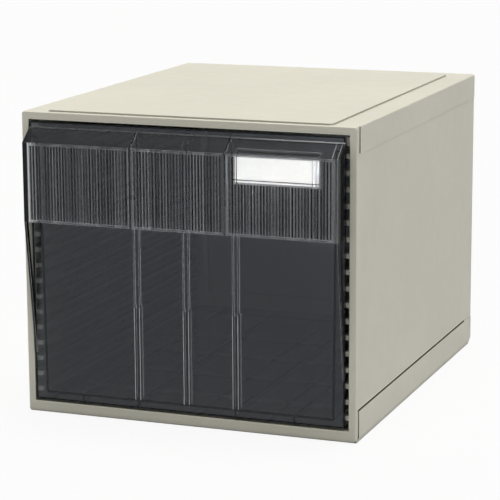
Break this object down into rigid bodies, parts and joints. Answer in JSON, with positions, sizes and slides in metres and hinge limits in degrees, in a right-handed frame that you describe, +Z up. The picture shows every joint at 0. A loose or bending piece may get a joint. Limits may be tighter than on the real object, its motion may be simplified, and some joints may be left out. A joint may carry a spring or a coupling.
{
  "type": "stackable drawer unit",
  "caption": "Free-standing moulded storage case with one deep smoke-tinted drawer that slides on moulded side rails, a reeded full-width hood pull, and a clear clip-on card holder",
  "frame": {"origin": "on the floor, under the middle of the bounding box", "axes": "+Z up, -Y towards the user: the drawer opens towards -Y; +X is the right-hand side seen from the front"},
  "size_m": [0.34, 0.4396, 0.302],
  "materials": {
    "case_plastic": "satin warm pale grey polystyrene",
    "smoke_plastic": "polished smoke-tinted transparent polystyrene",
    "clear_plastic": "polished clear polystyrene",
    "card": "smooth bare white card"
  },
  "bodies": {
    "case": {"front_frame": "case_plastic", "top_cover": "case_plastic", "base_tray": "case_plastic", "left_side_panel": "case_plastic", "right_side_panel": "case_plastic", "back_panel": "case_plastic"},
    "drawer": {"drawer": "smoke_plastic", "label_holder": "clear_plastic"},
    "label_card": {"label_card": "card"}
  },
  "joints": [
    {"name": "drawer_slide", "type": "slide", "parent": "case", "child": "drawer", "axis": [0, -1, 0], "range_m": [0, 0.33]},
    {"name": "card_slide", "type": "slide", "parent": "drawer", "child": "label_card", "axis": [1, 0, 0], "range_m": [0, 0.05]}
  ]
}
